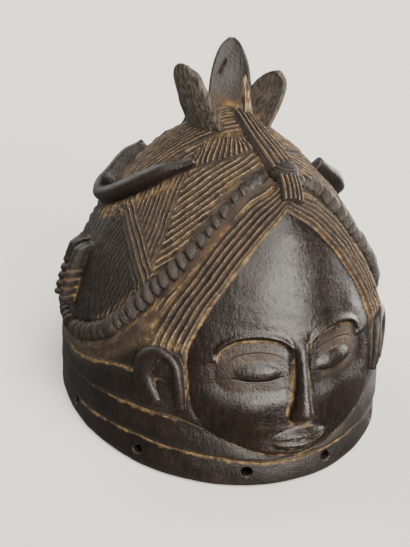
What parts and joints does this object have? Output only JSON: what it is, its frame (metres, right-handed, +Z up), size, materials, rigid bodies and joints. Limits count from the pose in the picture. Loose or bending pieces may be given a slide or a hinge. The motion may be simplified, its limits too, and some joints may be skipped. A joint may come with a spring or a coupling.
{
  "type": "janus helmet mask",
  "caption": "Carved wooden helmet mask, hollow and open below, with a face front and back, ridged hair, a braid ring, neck rolls and a crest of petals",
  "frame": {"origin": "middle of the rim, on the surface that the mask stands on", "axes": "+Z up, the front face looks along -Y, +X is on the right of someone who looks at the front face"},
  "size_m": [0.2506, 0.2867, 0.264],
  "materials": {
    "carved_wood": "dark worn patina, satin with glossy high spots"
  },
  "bodies": {
    "root": {"helmet_mask": "carved_wood"}
  },
  "joints": []
}
